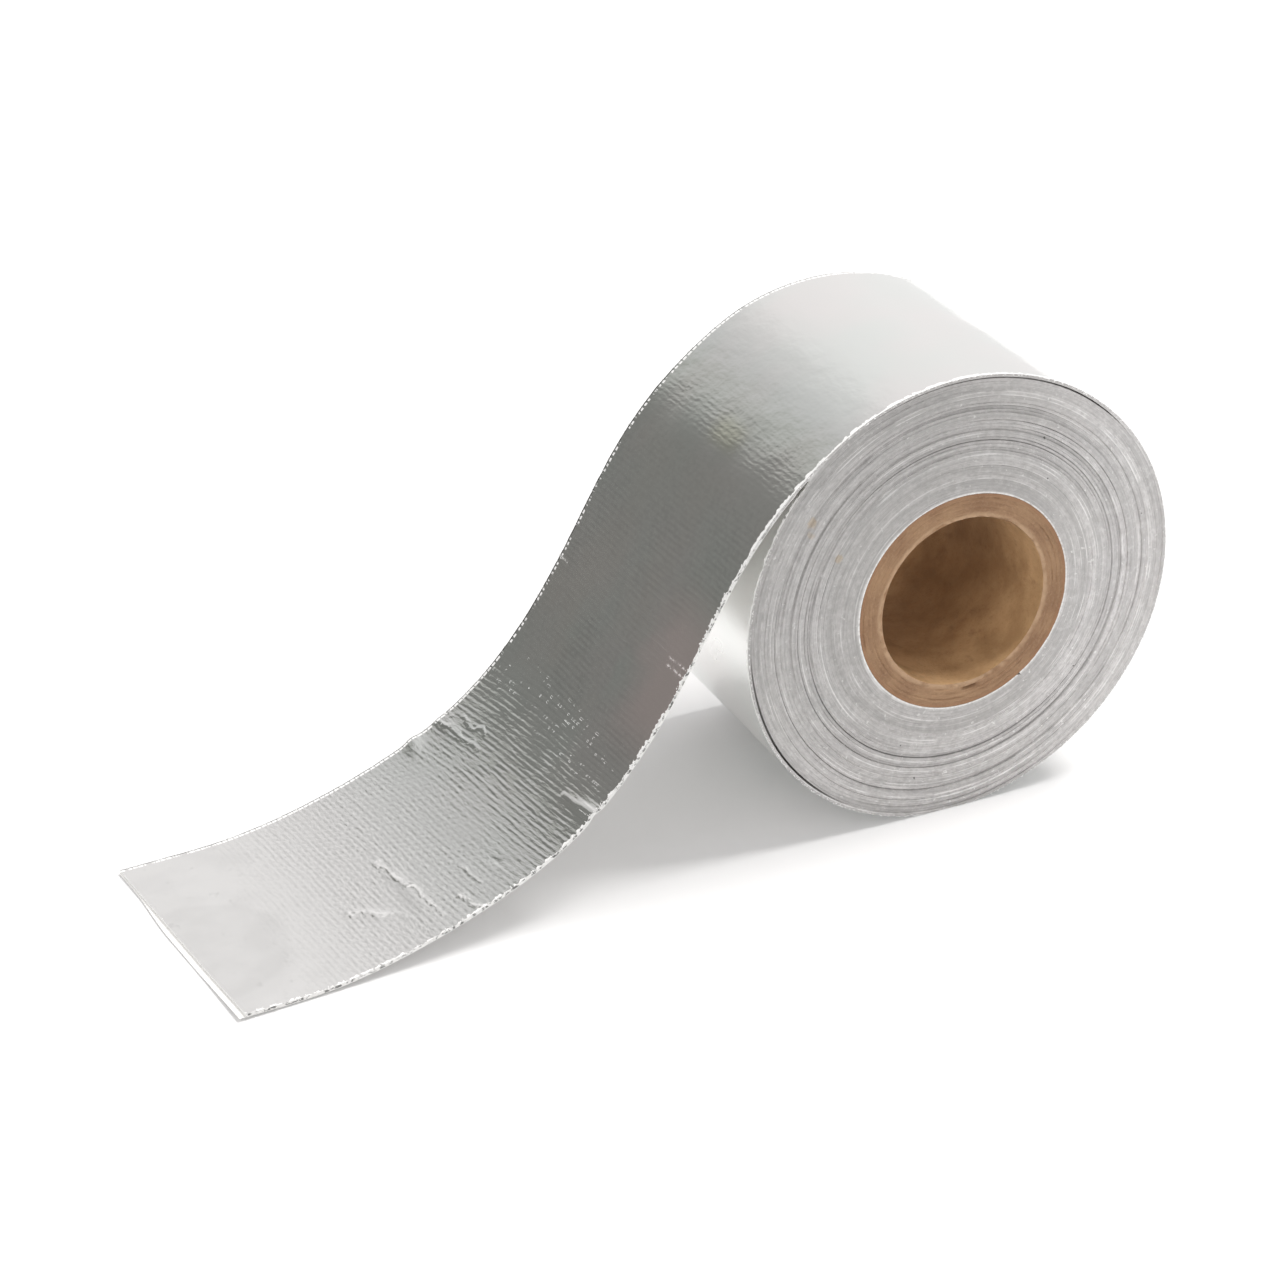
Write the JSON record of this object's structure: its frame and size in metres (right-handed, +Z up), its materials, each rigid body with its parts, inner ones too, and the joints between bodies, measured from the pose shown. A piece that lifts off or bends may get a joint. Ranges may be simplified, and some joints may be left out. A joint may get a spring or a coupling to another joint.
{
  "type": "roll of heat reflective tape",
  "caption": "Roll of aluminised glass-cloth tape on a paper core, lying on its side, its loose end falling in an S to the table over a white release liner.",
  "frame": {"origin": "on the table, in the middle of the small flat spot that the roll rests on, straight under the roll's middle", "axes": "+Z up, +Y along the core, away from the face that the picture shows, and the loose end runs out toward -X"},
  "size_m": [0.132, 0.0442, 0.0597],
  "materials": {
    "kraft_board": "matte",
    "aluminised_cloth": "satin",
    "release_paper": "matte"
  },
  "bodies": {
    "root": {"core": "kraft_board", "tape": "aluminised_cloth", "release_liner": "release_paper"}
  },
  "joints": []
}
